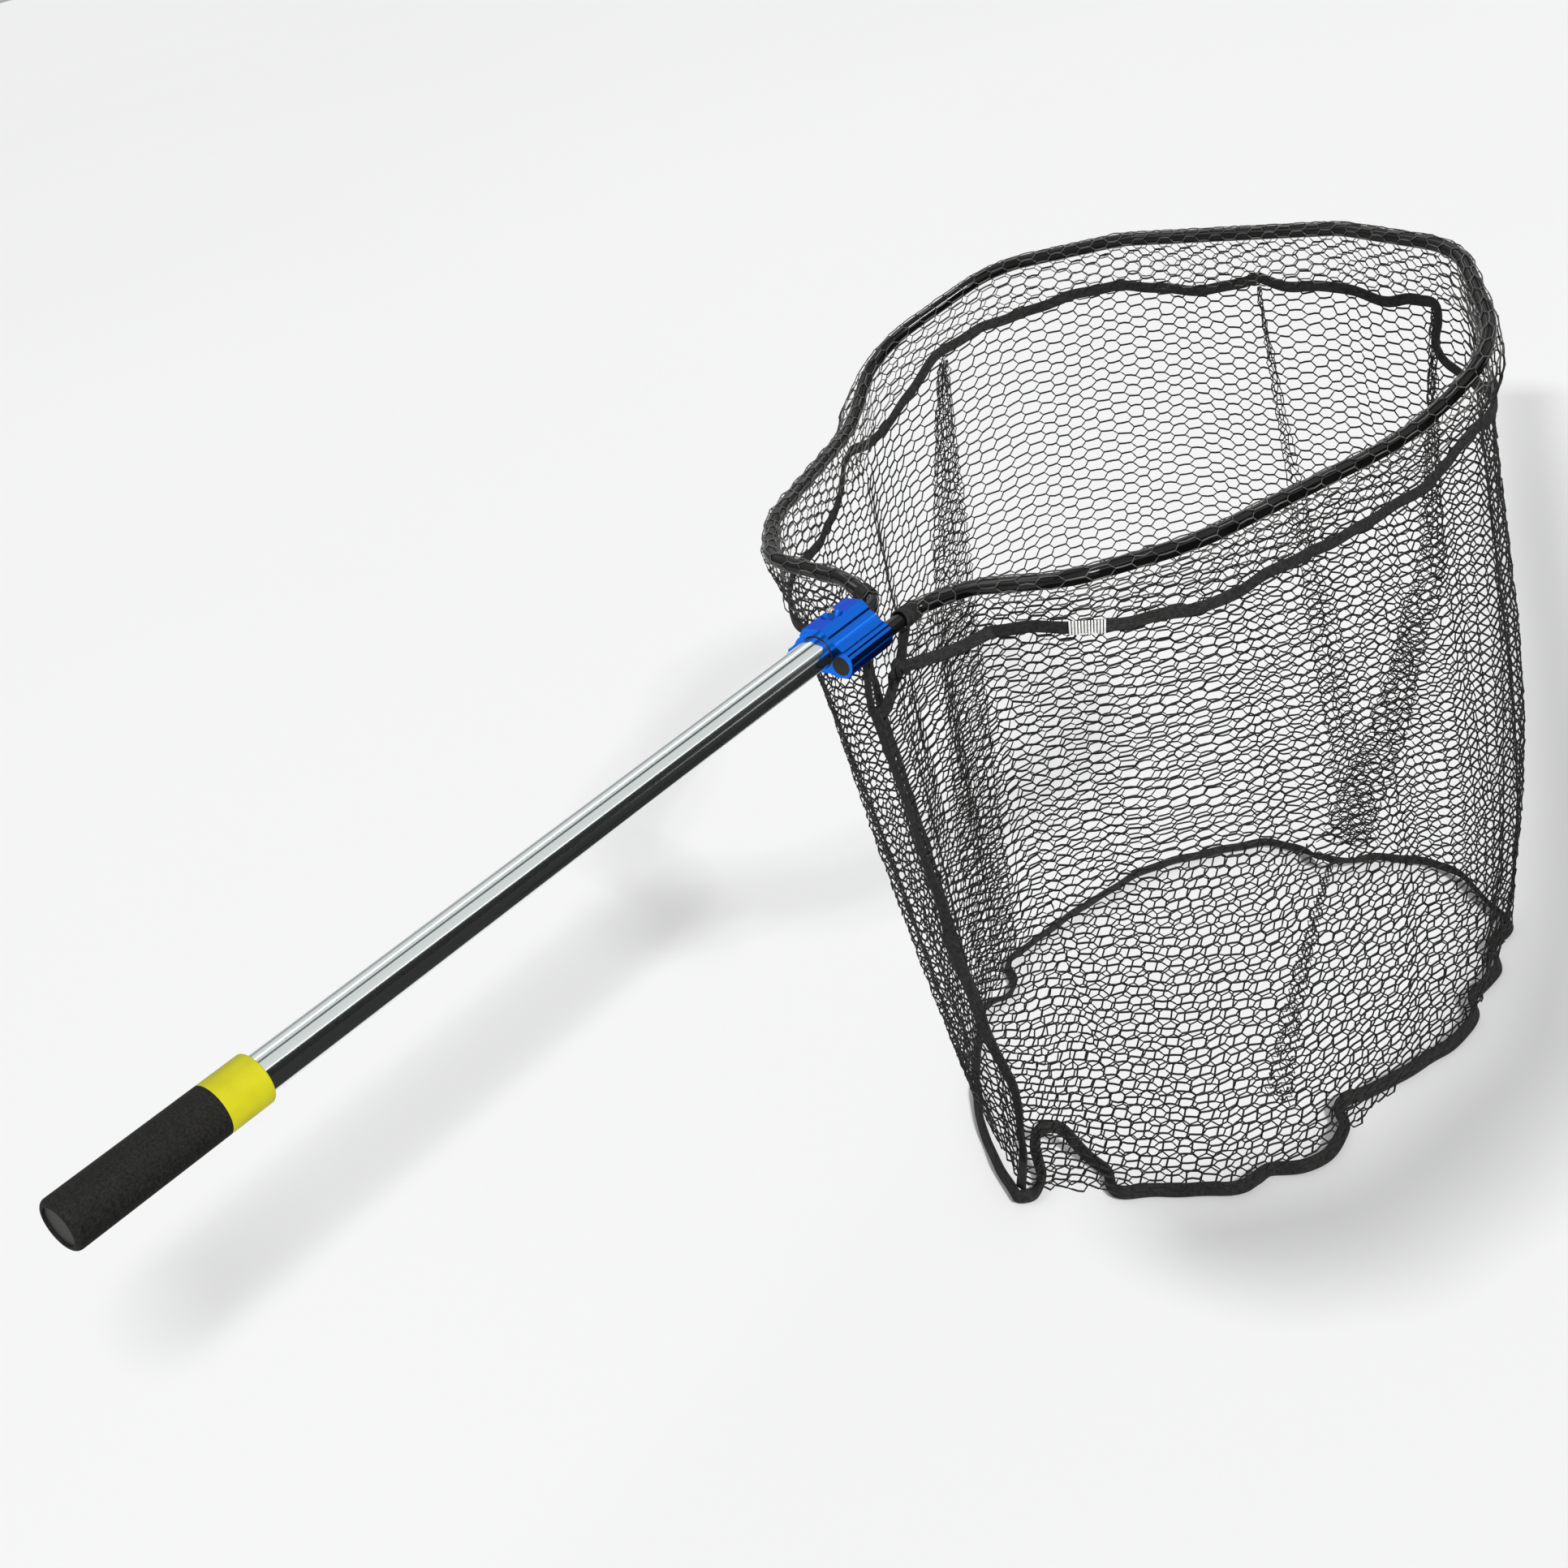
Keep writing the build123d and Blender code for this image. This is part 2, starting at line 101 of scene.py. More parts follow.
# Middle of the band: share of the way round to the far side, and distance down
BAND_LEFT = [
    (0.125, 0.030), (0.18, 0.044), (0.25, 0.042), (0.35, 0.041), (0.40, 0.040),
    (0.45, 0.032), (0.49, 0.018), (0.53, 0.023), (0.60, 0.045), (0.65, 0.044),
    (0.69, 0.029), (0.74, 0.032), (0.78, 0.036), (0.83, 0.030), (0.90, 0.032),
    (0.965, 0.040), (1.0, 0.035), (1.025, 0.029),
]
BAND_RIGHT = [
    (0.124, 0.022), (0.175, 0.022), (0.23, 0.031), (0.30, 0.037), (0.37, 0.035),
    (0.44, 0.037), (0.50, 0.034), (0.55, 0.034), (0.58, 0.028), (0.64, 0.042),
    (0.72, 0.078), (0.77, 0.087), (0.787, 0.078), (0.788, 0.066), (0.782, 0.050),
    (0.785, 0.037), (0.815, 0.039), (0.848, 0.046), (0.90, 0.042), (0.945, 0.038),
    (0.975, 0.029),
]
# Pleats in the walls: share of the way round, and level from the band (0) to the floor (1)
LEFT_DART = [(0.695, 0), (0.675, 0.25), (0.605, 1)]
FAR_DART = [(-0.974, 0), (-0.955, 1)]
RIGHT_DART = [(-0.79, 0), (-0.83, 0.45), (-0.90, 0.75), (-0.975, 1)]
FRONT_SWAY = [               # how the front corner bends to the right on its way down
    (0.0, 0.0), (0.34, 0.0065), (0.50, 0.008), (0.62, 0.0125), (0.74, 0.024),
    (0.80, 0.023), (0.90, 0.015), (1.0, 0.0),
]
SWAY_SPREAD = 0.08           # share of the way round that bends with it
BULGE = 0.018                # how far the right side swells out
HALF_WIDTH = 0.30            # from the handle's line to the hoop's widest place
# Where the netting hangs loose outside the hoop: how far out, share of the way round
# (+ left, - right) and spread
SLACK = [(0.022, 0.56, 0.06), (0.010, -0.61, 0.05)]
SLACK_AT = 0.006             # distance down at which it stands out most
SLACK_ABOVE = 0.024          # how far above that it ends
SLACK_BELOW = 0.040          # and how far below
# Where the left side folds: shares of the way round to the far side
FOLD_TOP = 0.70              # at the top edge
FOLD_FOOT = 0.49             # at the floor

# ---- Netting ----
COLUMNS = 124                # meshes round the bag
ROWS = 62                    # meshes from the walls' top edge to their foot
FOLD_ROWS = 9                # rows that go on over the hoop and down its inner side
ROW_PITCH = 0.0092
FAR_CROWDING = 0.07          # how much closer the columns stand towards the far side
END_CROWDING = 0.12          # and at the bag's two ends, the front and the far side
ZIGZAG = 0.14                # sideways swing of an upright yarn, in mesh widths
WANDER = 0.12                # its slow drift on the way down, in mesh widths
FLOOR_COLUMNS = 26           # on each side of the floor's middle, before it is cut out
FLOOR_STEPS = 80
FLOOR_MESH_WIDTH = 0.021
FLOOR_MESH_PITCH = 0.0125
FLOOR_MESH_TURN = -70        # degrees from the handle's line
FLOOR_LIFT = 0.0015          # the netting's lowest places, above the bag's floor
FLOOR_WAVE = 0.003           # and how much higher its waves go
FLOOR_PLEAT = [(1.221, -0.067), (1.10, -0.100), (0.97, -0.140), (0.86, -0.178)]
FLOOR_PLEAT_COLUMNS = 4
FLOOR_PLEAT_STEPS = 68
YARN_R = 0.00069
FOLD_YARN = 0.7              # yarn on the hoop is drawn tight, so it is this much thinner
BRIDGE_R = 0.00092           # the long sides of a mesh are two yarns side by side
BRIDGE_SAG = 0.0004          # how unevenly they hang
FOLD_R = 0.0070              # radius at which the netting lies on the hoop
FOLD_OUT = 0.005             # how far the walls' top edge stands outside the hoop's line
JITTER = 0.0005              # unevenness of the knots
RIPPLE = 0.0035              # depth of the walls' soft folds
PLEAT_YARN = 0.75            # yarn in a pleat is this much thinner
PLEAT_GAP = 0.0025           # between a wall and its pleat, and between a pleat's layers
PLEAT_START = 0.06           # a pleat's width at the band, as a share of its full width

# ---- Tapes, thread and spring: a pair is a tape's width and thickness ----
BAND_THICK = 0.0022
BAND_OUT = 0.0022            # how far outside the walls its middle lies
BAND_TUCK = (0.012, -0.77, 0.05)     # where a fold draws it in: how far, share and spread
FLOOR_TAPE = (0.0118, 0.0042)
# Where the floor's tape stands up: height, plan place and spread
FLOOR_TAPE_LIFTS = [(0.024, (0.728, -0.030), 0.022), (0.010, (1.225, -0.062), 0.020)]
FLOOR_TAPE_HEIGHT = 0.0055   # its middle, above the bag's floor
BAG_MIDDLE = (0.98, -0.06)
FRONT_TAPE = (0.0110, 0.0026)
FRONT_TAPE_OUT = 0.0032      # from the front corner towards the handle
STRAP_TAPE = (0.0080, 0.0022)
STRAP_X = 0.696              # where the straps hang from the hoop's arms
LOOP_TAPE = (0.0055, 0.0018)
LOOP_R = 0.0073              # the tape loops round the hoop's arms
LOOPS = [(0.693, 0.001), (0.699, -0.001)]    # each one's place along an arm, and its lean
KNOT_CORD_R = 0.0021
TAIL_STRANDS = 7             # the knot's frayed tail
TAIL_R = 0.0006
WHIP_LENGTH = 0.0105         # the thread round the netting's ends on the arms
WHIP_THREAD_R = 0.0010
STITCHES = 12
STITCH_PITCH = 0.0023
STITCH_REACH = 0.0055        # half the height of a stitch across the band
STITCH_RISE = 0.0012         # how far its middle stands out past its ends
STITCH_R = 0.00085

# ---- Camera and studio ----
CAMERA_AT = (-0.3895, -0.9028, 0.5761)
CAMERA_RIGHT = Vector((0.5928, -0.7743, -0.2216))
CAMERA_UP = Vector((0.4828, 0.1214, 0.8673))
LENS = 46.58
SENSOR = 36.0
GROUND = -0.542
AIR = 0.42                   # light from all round
KEY = 3.28                   # soft light from behind the camera
KEY_SOFTNESS = 7.5           # degrees
KEY_DIRECTION = (0.31, 0.69, -0.60)
SHADE = [                    # plan of the bag's soft shadow on the floor
    (2.60, 0.27), (2.23, 0.13), (1.75, -0.06), (1.40, -0.19), (1.18, -0.26), (1.00, -0.29),
    (0.81, -0.25), (0.69, -0.12), (0.65, -0.16), (0.65, -0.26), (0.71, -0.35), (0.84, -0.40),
    (1.01, -0.42), (1.42, -0.30), (1.98, -0.06), (2.60, 0.20),
]
SHADE_LIFT = 0.42            # the card that casts it, above the floor
SHADE_DENSITY = 0.6
CARD_BLACK = 0.035
STUDIO_HALF = 40.0           # half the width of the studio's floor

rng = np.random.default_rng(7)


# ---------------------------------------------------------------- geometry helpers
def unit(vectors):
    return vectors / np.maximum(np.linalg.norm(vectors, axis=-1, keepdims=True), 1e-12)


def rounded(corners, radii, step=0.002):
    """Points along straight runs joined by arcs of the given radii."""
    corners = [np.array(c, float) for c in corners]
    points = [corners[0]]
    for before, here, after, radius in zip(corners, corners[1:], corners[2:], radii):
        arrive, leave = unit(here - before), unit(after - here)
        angle = math.acos(np.clip(arrive @ leave, -1, 1))
        if angle < 1e-4:
            points.append(here)
            continue
        start = here - arrive * radius * math.tan(angle / 2)
        centre = here + unit(leave - arrive) * radius / math.cos(angle / 2)
        spoke = start - centre
        count = max(3, int(radius * angle / step))
        for turn in np.linspace(0, angle, count):
            points.append(centre + spoke * math.cos(turn) + arrive * radius * math.sin(turn))
    points.append(corners[-1])
    return np.array(points)


class Route:
    """A line through points, read by distance along it."""

    def __init__(self, points):
        self.points = np.array(points, float)
        steps = np.linalg.norm(np.diff(self.points, axis=0), axis=1)
        self.at = np.concatenate([[0], np.cumsum(steps)])
        self.length = self.at[-1]

    def place(self, distance):
        axes = range(self.points.shape[1])
        return np.stack([np.interp(distance, self.at, self.points[:, a]) for a in axes], -1)

    def spread(self, count):
        return self.place(np.linspace(0, self.length, count))


def spline(points, count):
    """A smooth line through a few points, evenly spaced."""
    points = np.array(points, float)
    ends = [2 * points[0] - points[1], *points, 2 * points[-1] - points[-2]]
    fine = []
    for a, b, c, d in zip(ends, ends[1:], ends[2:], ends[3:]):
        for t in np.linspace(0, 1, 12, endpoint=False):
            fine.append(
                b + t * (c - a) / 2 + t * t * (a - 2.5 * b + 2 * c - d / 2)
                + t ** 3 * (-a / 2 + 1.5 * b - 1.5 * c + d / 2)
            )
    fine.append(points[-1])
    return Route(fine).spread(count)


def mirrored(point):
    """The same point on the other side of the handle's line."""
    return (point[0], -point[1], *point[2:])


def frames(lines, up=None):
    """Side and top directions at every point of an array of lines."""
    along = np.empty_like(lines)
    along[:, 1:-1] = lines[:, 2:] - lines[:, :-2]
    along[:, 0] = lines[:, 1] - lines[:, 0]
    along[:, -1] = lines[:, -1] - lines[:, -2]
    along = unit(along)
    if up is None:
        off_every_yarn = unit(np.array([0.31, 0.52, 0.79]))
        up = np.broadcast_to(off_every_yarn, lines.shape)
    side = unit(np.cross(along, up))
    return side, np.cross(side, along)


def swept(lines, outline, up=None, closed=False):
    """Points and faces of an outline swept along lines.

    lines is an array (lines, points, 3) and outline gives (side, top) pairs.
    """
    lines = np.asarray(lines, float)
    if closed:
        lines = np.concatenate([lines[:, -1:], lines, lines[:, :1]], axis=1)
        if up is not None:
            up = np.concatenate([up[:, -1:], up, up[:, :1]], axis=1)
    side, top = frames(lines, up)
    if closed:
        lines, side, top = lines[:, 1:-1], side[:, 1:-1], top[:, 1:-1]
    outline = np.asarray(outline, float)
    many, count, ring = lines.shape[0], lines.shape[1], len(outline)
    points = (
        lines[:, :, None]
        + side[:, :, None] * outline[None, None, :, :1]
        + top[:, :, None] * outline[None, None, :, 1:]
    )
    index = np.arange(many * count * ring).reshape(many, count, ring)
    if closed:
        index = np.concatenate([index, index[:, :1]], axis=1)
    turned = np.roll(index, -1, axis=2)
    faces = np.stack(
        [index[:, :-1], turned[:, :-1], turned[:, 1:], index[:, 1:]], axis=-1
    ).reshape(-1, 4)
    return points.reshape(-1, 3), faces


def circle(radius, sides=5):
    turn = np.arange(sides) * 2 * math.pi / sides
    return np.stack([radius * np.cos(turn), radius * np.sin(turn)], axis=-1)


def lobed(width, thick, lobes=4, points=6):
    """Outline of a flat tape with soft ribs along it."""
    across = np.linspace(-1, 1, lobes * points)
    rib = 0.78 + 0.22 * np.abs(np.sin((across + 1) / 2 * lobes * math.pi))
    crown = np.sqrt(np.maximum(1 - np.abs(across) ** 6, 0.02)) * rib
    top = np.stack([across * width / 2, crown * thick / 2], axis=-1)
    return np.concatenate([top, top[::-1] * (1, -1)])


def build(name, *parts, material):
    """One piece on the head from several (points, faces) parts."""
    points = []
    faces = []
    start = 0
    for part_points, part_faces in parts:
        points.append(part_points)
        faces.append(part_faces + start)
        start += len(part_points)
    points = np.concatenate(points).astype(np.float32)
    faces = np.concatenate(faces).astype(np.int32)
    mesh = bpy.data.meshes.new(name)
    mesh.vertices.add(len(points))
    mesh.vertices.foreach_set("co", points.ravel())
    mesh.loops.add(faces.size)
    mesh.loops.foreach_set("vertex_index", faces.ravel())
    mesh.polygons.add(len(faces))
    starts = np.arange(0, faces.size, faces.shape[1], dtype=np.int32)
    mesh.polygons.foreach_set("loop_start", starts)
    mesh.polygons.foreach_set("use_smooth", np.ones(len(faces), bool))
    mesh.update(calc_edges=True)
    mesh.validate()
    piece = bpy.data.objects.new(name, mesh)
    bpy.context.scene.collection.objects.link(piece)
    mesh.materials.append(material)
    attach(piece, "head")
    return piece


# ---------------------------------------------------------------- materials
class Shader:
    """A material's node tree with a few short helpers."""

    def __init__(self, name, **settings):
        self.material = bpy.data.materials.new(name)
        self.material.use_nodes = True
        self.tree = self.material.node_tree
        self.surface = self.tree.nodes["Principled BSDF"]
        for socket, value in settings.items():
            self.surface.inputs[socket.replace("_", " ")].default_value = value
        self.place = self.node("ShaderNodeTexCoord").outputs["Object"]

    def node(self, kind):
        return self.tree.nodes.new(kind)

    def link(self, source, target):
        self.tree.links.new(source, target)

    def stretched(self, scale):
        mapping = self.node("ShaderNodeMapping")
        mapping.inputs["Scale"].default_value = scale
        self.link(self.place, mapping.inputs["Vector"])
        return mapping.outputs["Vector"]

    def noise(self, scale, detail=3.0, stretch=None):
        made = self.node("ShaderNodeTexNoise")
        made.inputs["Scale"].default_value = scale
        made.inputs["Detail"].default_value = detail
        self.link(self.stretched(stretch) if stretch else self.place, made.inputs["Vector"])
        return made.outputs["Fac"]

    def cells(self, scale):
        made = self.node("ShaderNodeTexVoronoi")
        made.inputs["Scale"].default_value = scale
        self.link(self.place, made.inputs["Vector"])
        return made.outputs["Distance"]

    def waves(self, scale, distortion):
        made = self.node("ShaderNodeTexWave")
        made.bands_direction = "DIAGONAL"
        made.inputs["Scale"].default_value = scale
        made.inputs["Distortion"].default_value = distortion
        self.link(self.place, made.inputs["Vector"])
        return made.outputs["Fac"]

    def colour(self, factor, low, high, between=(0.3, 0.7)):
        """Base colour from low to high as the factor goes between two values."""
        made = self.node("ShaderNodeValToRGB")
        for element, at, colour in zip(made.color_ramp.elements, between, (low, high)):
            element.position = at
            element.color = (*colour, 1.0)
        self.link(factor, made.inputs["Fac"])
        self.link(made.outputs["Color"], self.surface.inputs["Base Color"])

    def roughness(self, factor, low, high):
        made = self.node("ShaderNodeMapRange")
        made.inputs["To Min"].default_value = low
        made.inputs["To Max"].default_value = high
        self.link(factor, made.inputs["Value"])
        self.link(made.outputs["Result"], self.surface.inputs["Roughness"])

    def bump(self, height, distance, strength):
        made = self.node("ShaderNodeBump")
        made.inputs["Distance"].default_value = distance
        made.inputs["Strength"].default_value = strength
        self.link(height, made.inputs["Height"])
        previous = self.surface.inputs["Normal"]
        if previous.is_linked:
            self.link(previous.links[0].from_socket, made.inputs["Normal"])
        self.link(made.outputs["Normal"], previous)


def foam():
    made = Shader("black_foam", Roughness=0.8, Specular_IOR_Level=0.22)
    made.colour(made.noise(700.0), (0.002, 0.002, 0.002), (0.015, 0.0145, 0.012))
    made.roughness(made.noise(60.0), 0.68, 0.9)
    made.bump(made.cells(1400.0), 0.00012, 0.7)
    return made.material


def rubber_collar():
    made = Shader("yellow_green_collar", Roughness=0.5, Specular_IOR_Level=0.25)
    made.colour(made.noise(90.0), (0.445, 0.420, 0.002), (0.510, 0.480, 0.004), (0.25, 0.75))
    made.roughness(made.noise(140.0), 0.36, 0.55)
    made.bump(made.noise(1500.0), 0.00005, 0.6)
    return made.material


def polished_tube():
    made = Shader("polished_titanium_tube", Metallic=1.0, Roughness=0.2)
    brushed = made.noise(220.0, 2.0, (0.004, 1.0, 1.0))
    made.colour(brushed, (0.74, 0.80, 0.79), (0.82, 0.88, 0.865))
    made.roughness(brushed, 0.12, 0.15)
    return made.material


def blue_anodised():
    made = Shader(
        "blue_anodised", Metallic=1.0, Roughness=0.25, Specular_Tint=(0.01, 0.30, 1.0, 1.0),
        Coat_Weight=0.25, Coat_Roughness=0.08,
    )
    drawn = made.noise(420.0, 4.0, (0.015, 1.0, 1.0))
    made.colour(drawn, (0.002, 0.14, 0.74), (0.004, 0.18, 0.90))
    made.roughness(drawn, 0.14, 0.22)
    made.bump(drawn, 0.00002, 0.3)
    return made.material


def chrome():
    made = Shader("bright_chrome", Metallic=1.0)
    # its warm tint is a painted reflection of something reddish
    made.colour(made.noise(300.0), (0.66, 0.58, 0.53), (0.80, 0.74, 0.70))
    made.roughness(made.noise(900.0), 0.04, 0.09)
    return made.material


def black_plastic():
    made = Shader("black_plastic", Roughness=0.5, Specular_IOR_Level=0.3)
    made.colour(made.noise(180.0), (0.008, 0.008, 0.007), (0.014, 0.013, 0.012))
    made.roughness(made.noise(700.0), 0.42, 0.62)
    made.bump(made.noise(1800.0), 0.00004, 0.5)
    return made.material


def spring_steel():
    made = Shader("spring_steel", Metallic=1.0, Roughness=0.3)
    made.colour(made.noise(200.0), (0.42, 0.42, 0.43), (0.55, 0.55, 0.56))
    made.roughness(made.noise(500.0), 0.25, 0.4)
    return made.material


def gloss_black():
    made = Shader("gloss_black_tube", Roughness=0.1, Specular_IOR_Level=0.3)
    made.colour(made.noise(60.0), (0.002, 0.002, 0.002), (0.005, 0.005, 0.005))
    made.roughness(made.noise(260.0), 0.07, 0.16)
    made.bump(made.noise(35.0), 0.0002, 0.15)
    return made.material


def yarn(name="black_yarn", light=1.0):
    made = Shader(name, Roughness=0.5, Specular_IOR_Level=0.3)
    # light above 1 paints a highlight into the yarn's colour
    low = (0.006 * light, 0.006 * light, 0.0056 * light)
    high = (0.014 * light, 0.014 * light, 0.013 * light)
    made.colour(made.noise(45.0), low, high)
    made.roughness(made.noise(500.0), 0.4, 0.62)
    made.bump(made.waves(1600.0, 1.5), 0.0001, 0.6)
    return made.material


def woven_tape():
    made = Shader("black_woven_tape", Roughness=0.75, Specular_IOR_Level=0.25)
    made.colour(made.noise(300.0), (0.008, 0.008, 0.008), (0.026, 0.025, 0.024))
    made.roughness(made.noise(400.0), 0.62, 0.85)
    made.bump(made.waves(420.0, 0.6), 0.0003, 0.8)
    made.bump(made.noise(1500.0), 0.0001, 0.5)
    return made.material


def white_thread():
    made = Shader("white_thread", Roughness=0.7, Sheen_Weight=0.1)
    made.colour(made.noise(500.0), (0.62, 0.62, 0.60), (0.84, 0.84, 0.82))
    made.roughness(made.noise(700.0), 0.6, 0.8)
    made.bump(made.waves(1800.0, 1.0), 0.0001, 0.6)
    return made.material


def studio_floor():
    made = Shader("pale_floor", Roughness=0.7)
    made.colour(made.noise(0.6), (0.855, 0.855, 0.855), (0.862, 0.862, 0.862))
    return made.material


def dress(material, *names):
    """Gives carried-over nodes a better material in place of their plain one."""
    for name in names:
        slots = nodes[name].data.materials
        slots.clear()
        slots.append(material)


black_yarn = yarn()
tape_cloth = woven_tape()
dress(foam(), "foam_grip")
dress(rubber_collar(), "grip_collar")
dress(polished_tube(), "handle_tube")
dress(blue_anodised(), "hub_block")
dress(chrome(), "lock_button", "hoop_screws")
dress(
    black_plastic(), "butt_plug", "tube_front_plug", "guide_bush", "hoop_cap_left",
    "hoop_cap_right",
)
dress(spring_steel(), "button_spring")
dress(gloss_black(), "hoop_tube")
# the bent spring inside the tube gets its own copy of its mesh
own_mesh(nodes["button_spring"])

# ---------------------------------------------------------------- the bag's surface
sleeve_corners = [
    SLEEVE_START, *HOOP_CORNERS, *map(mirrored, reversed(HOOP_CORNERS)), mirrored(SLEEVE_START),
]
sleeve = Route(rounded(sleeve_corners, [*HOOP_BENDS, *reversed(HOOP_BENDS)]))
edge_start = np.array(SLEEVE_START) - (0, 0, NET_DROP)
front_run = np.linalg.norm(edge_start - FRONT_POINT)
half_round = front_run + sleeve.length / 2
floor_routes = [
    Route(rounded([FLOOR_FRONT, *side, FLOOR_FAR], [0.03] * len(side), 0.004))
    for side in (FLOOR_LEFT, FLOOR_RIGHT)
]


def on_hoop(share):
    """Whether the top edge lies under the hoop there, past the straight runs at the front."""
    return np.abs(share) * half_round >= front_run


def rim(share):
    """Top edge of the walls, and which way is out, at shares from the front (0) to the far
    side: +1 round the left, -1 round the right."""

    def edge(part):
        distance = np.abs(part) * half_round
        slope = np.clip(distance / front_run, 0, 1)[..., None]
        straight = FRONT_POINT + (edge_start - FRONT_POINT) * slope
        hoop = sleeve.place(np.maximum(distance - front_run, 0)) - (0, 0, NET_DROP)
        return np.where((distance < front_run)[..., None], straight, hoop)

    share = np.asarray(share, float)
    places = edge(share)
    step = 0.004
    travel = edge(np.minimum(np.abs(share) + step, 1)) - edge(np.maximum(np.abs(share) - step, 0))
    out = unit(np.stack([-travel[..., 1], travel[..., 0], np.zeros_like(share)], -1))
    tip = unit(np.cross(out, travel))
    side = np.where(share < 0, -1.0, 1.0)
    flip = np.stack([np.ones_like(side), side, np.ones_like(side)], -1)
    return places * flip, out * flip, tip * flip * np.sign(tip[..., 2:])


def foot(share):
    """Plan places of the bag's floor outline under those shares of the top."""
    share = np.asarray(share, float)
    leant = np.interp(share, [-1, 0, FOLD_TOP, 1], [1, 0, FOLD_FOOT, 1])
    left, right = [route.place(leant * route.length) for route in floor_routes]
    return np.where((share >= 0)[..., None], left, right)


def fold_profile():
    """How the netting goes over the hoop: (out, above the walls' top edge) by distance up."""
    turn = np.linspace(0, math.pi, 24)
    arc = np.stack([FOLD_R * np.cos(turn), NET_DROP + FOLD_R * np.sin(turn)], -1)
    inside = [(-FOLD_OUT, 0.0), (-0.0006, -BAND_FROM - 0.004)]
    return Route([(FOLD_OUT, 0.0), *arc, *inside])


over_hoop = fold_profile()


def hill(share, middle, width):
    """1 in the middle and near 0 from twice the width away."""
    return np.exp(-((share - middle) / width) ** 2)


def wall(share, down, out=0.0):
    """Points of the bag at shares round it and distances down from the walls' top edge.

    Negative distances go up over the hoop and down its inner side.
    """
    share, down = np.broadcast_arrays(np.asarray(share, float), np.asarray(down, float))
    share = (share + 1) % 2 - 1
    top, outward, tip = rim(share)
    height = top[..., 2] - WALL_FOOT
    level = np.clip(down / height, 0, 1)
    plan = top[..., :2] + (foot(share) - top[..., :2]) * level[..., None]
    places = np.concatenate([plan, (top[..., 2] - np.maximum(down, 0))[..., None]], -1)
    places[..., 1] -= np.interp(level, *zip(*FRONT_SWAY)) * hill(share, 0, SWAY_SPREAD)

    rightness = np.clip(-top[..., 1] / HALF_WIDTH, 0, 1)
    swell = BULGE * rightness * np.sin(math.pi * level ** 1.5)
    turn = math.pi * share
    # soft folds of two widths, which lean opposite ways on their way down
    folds = np.sin(15 * turn + level * 2.2) + 0.7 * np.sin(26 * turn - level * 3.1 + 1.0)
    ripple = RIPPLE * folds * np.sin(math.pi * level) ** 0.8
    spread = FOLD_OUT * np.clip(1 - down / BAND_FROM, 0, 1)
    spread = np.where(on_hoop(share), spread, 0.0)
    slack = sum(reach * hill(share, middle, width) for reach, middle, width in SLACK)
    fade = np.where(down < SLACK_AT, SLACK_ABOVE, SLACK_BELOW)
    slack = slack * np.clip(1 - np.abs(down - SLACK_AT) / fade, 0, 1)
    push = out + slack + np.where(down < 0, 0.0, swell + ripple + spread)

    lifted = over_hoop.place(np.maximum(-down, 0))
    fold = outward * lifted[..., :1] + tip * lifted[..., 1:]
    folded = np.where((down < 0)[..., None], fold, 0.0)
    return places + outward * push[..., None] + folded


# ---------------------------------------------------------------- netting
def swings(columns, steps):
    """+1 or -1 for each knot of a honeycomb: the side that its upright yarn swings to."""
    return np.where((np.arange(columns)[:, None] + np.asarray(steps)[None]) % 2 == 0, 1.0, -1.0)


def yarns(points, swing, first, last=None, thick=1.0):
    """Tubes of a honeycomb: uprights swing from side to side, and long sides bridge them.

    points is an array (columns, steps, 3), and each column runs from its first to its last
    step. Neighbouring columns are bridged where both reach.
    """
    columns, steps = points.shape[:2]
    last = np.full(columns, steps - 1) if last is None else last
    parts = []
    for begin, end in sorted(set(zip(first, last))):
        if begin == end:
            continue
        alike = points[(first == begin) & (last == end), begin:end + 1]
        line = np.empty((len(alike), 2 * alike.shape[1] - 1, 3))
        line[:, ::2] = alike
        line[:, 1::2] = (alike[:, 1:] + alike[:, :-1]) / 2
        parts.append(swept(line, circle(YARN_R * thick)))
    step = np.arange(steps)[None]
    reach = (step >= first[:, None]) & (step <= last[:, None])
    bridge = (swing[:-1] > 0) & reach[:-1] & reach[1:]
    here, there = points[:-1][bridge], points[1:][bridge]
    sag = rng.normal(0, BRIDGE_SAG, here.shape)
    bridges = np.stack([here, (here + there) / 2 + sag, there], 1)
    parts.append(swept(bridges, circle(BRIDGE_R * thick)))
    return parts


def spaced(share):
    """Shares of evenly counted columns, which stand closer together at the bag's ends."""
    turn = math.pi * share
    far = FAR_CROWDING * np.sin(turn) / math.pi
    ends = END_CROWDING * np.sin(2 * turn) / (2 * math.pi)
    return share + far - ends


